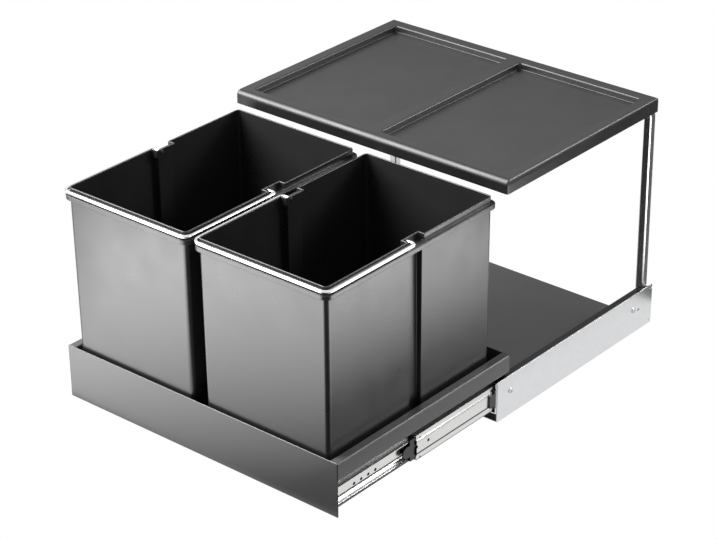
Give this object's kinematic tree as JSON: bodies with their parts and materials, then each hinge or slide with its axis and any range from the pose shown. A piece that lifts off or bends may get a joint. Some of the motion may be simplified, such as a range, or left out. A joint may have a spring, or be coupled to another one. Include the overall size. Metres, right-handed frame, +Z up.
{
  "type": "pull out trash cabinet",
  "caption": "Pull-out waste unit for a kitchen cabinet: fixed base with posts and a recessed shelf lid, and a tray on ball slides with lift-out bins and wire bails.",
  "frame": {"origin": "middle of the line between the floor-screw holes, on the underside of the base floor, near its front edge", "axes": "+X to the right seen from the front, +Y to the rear of the cabinet, +Z up; the tray is drawn pulled out towards -Y"},
  "size_m": [0.4638, 0.6589, 0.3316],
  "materials": {
    "grey_coated_steel": "fine powder coat",
    "grey_panel_steel": "satin coat",
    "galvanised_plate": "brushed",
    "zinc_slide": "bright zinc plate",
    "satin_tube": "satin",
    "bright_wire": "polished",
    "plated_screw": "zinc plate",
    "ball_steel": "polished",
    "moulded_lid": "fine grain",
    "bin_plastic": "smooth moulded",
    "black_plastic": "moulded"
  },
  "bodies": {
    "base": {"base_floor": "grey_coated_steel", "slide_screws": "plated_screw", "lid": "moulded_lid", "lid_screws": "plated_screw", "post_screws": "plated_screw", "arm_plugs": "black_plastic", "side_plate_left": "galvanised_plate", "post_left": "satin_tube", "slide_outer_left": "zinc_slide", "slide_bumper_left": "black_plastic", "side_plate_right": "galvanised_plate", "post_right": "satin_tube", "slide_outer_right": "zinc_slide", "slide_bumper_right": "black_plastic"},
    "tray": {"tray_pan": "grey_coated_steel", "tray_front_panel": "grey_panel_steel", "tray_rear_panel": "grey_coated_steel", "tray_slide_screws": "plated_screw", "slide_inner_left": "zinc_slide", "slide_inner_right": "zinc_slide"},
    "middle_left": {"slide_middle_left": "zinc_slide"},
    "outer_cage_left": {"outer_cage_left": "zinc_slide", "outer_balls_left": "ball_steel"},
    "inner_cage_left": {"inner_cage_left": "black_plastic", "inner_balls_left": "ball_steel"},
    "bin_left": {"bin_left": "bin_plastic"},
    "bail_left": {"bail_left": "bright_wire"},
    "middle_right": {"slide_middle_right": "zinc_slide"},
    "outer_cage_right": {"outer_cage_right": "zinc_slide", "outer_balls_right": "ball_steel"},
    "inner_cage_right": {"inner_cage_right": "black_plastic", "inner_balls_right": "ball_steel"},
    "bin_right": {"bin_right": "bin_plastic"},
    "bail_right": {"bail_right": "bright_wire"}
  },
  "joints": [
    {"name": "tray_slide", "type": "slide", "parent": "base", "child": "tray", "axis": [0, -1, 0], "range_m": [-0.292, 0]},
    {"name": "middle_slide_left", "type": "slide", "parent": "base", "child": "middle_left", "axis": [0, -1, 0], "range_m": [-0.146, 0]},
    {"name": "outer_cage_slide_left", "type": "slide", "parent": "base", "child": "outer_cage_left", "axis": [0, -1, 0], "range_m": [-0.073, 0]},
    {"name": "inner_cage_slide_left", "type": "slide", "parent": "base", "child": "inner_cage_left", "axis": [0, -1, 0], "range_m": [-0.219, 0]},
    {"name": "middle_slide_right", "type": "slide", "parent": "base", "child": "middle_right", "axis": [0, -1, 0], "range_m": [-0.146, 0]},
    {"name": "outer_cage_slide_right", "type": "slide", "parent": "base", "child": "outer_cage_right", "axis": [0, -1, 0], "range_m": [-0.073, 0]},
    {"name": "inner_cage_slide_right", "type": "slide", "parent": "base", "child": "inner_cage_right", "axis": [0, -1, 0], "range_m": [-0.219, 0]},
    {"name": "bin_lift_left", "type": "slide", "parent": "tray", "child": "bin_left", "axis": [0, 0, 1], "range_m": [0, 0.33]},
    {"name": "bail_hinge_left", "type": "hinge", "parent": "bin_left", "child": "bail_left", "pos_m": [-0.1104, -0.1633, 0.3075], "axis": [-1, 0, 0], "range_deg": [0, 180]},
    {"name": "bin_lift_right", "type": "slide", "parent": "tray", "child": "bin_right", "axis": [0, 0, 1], "range_m": [0, 0.33]},
    {"name": "bail_hinge_right", "type": "hinge", "parent": "bin_right", "child": "bail_right", "pos_m": [0.1104, -0.1633, 0.3075], "axis": [-1, 0, 0], "range_deg": [0, 180]}
  ],
  "couplings": [
    {"joint": "middle_slide_left", "follows": "tray_slide", "ratio": 0.5},
    {"joint": "outer_cage_slide_left", "follows": "tray_slide", "ratio": 0.25},
    {"joint": "inner_cage_slide_left", "follows": "tray_slide", "ratio": 0.75},
    {"joint": "middle_slide_right", "follows": "tray_slide", "ratio": 0.5},
    {"joint": "outer_cage_slide_right", "follows": "tray_slide", "ratio": 0.25},
    {"joint": "inner_cage_slide_right", "follows": "tray_slide", "ratio": 0.75}
  ]
}
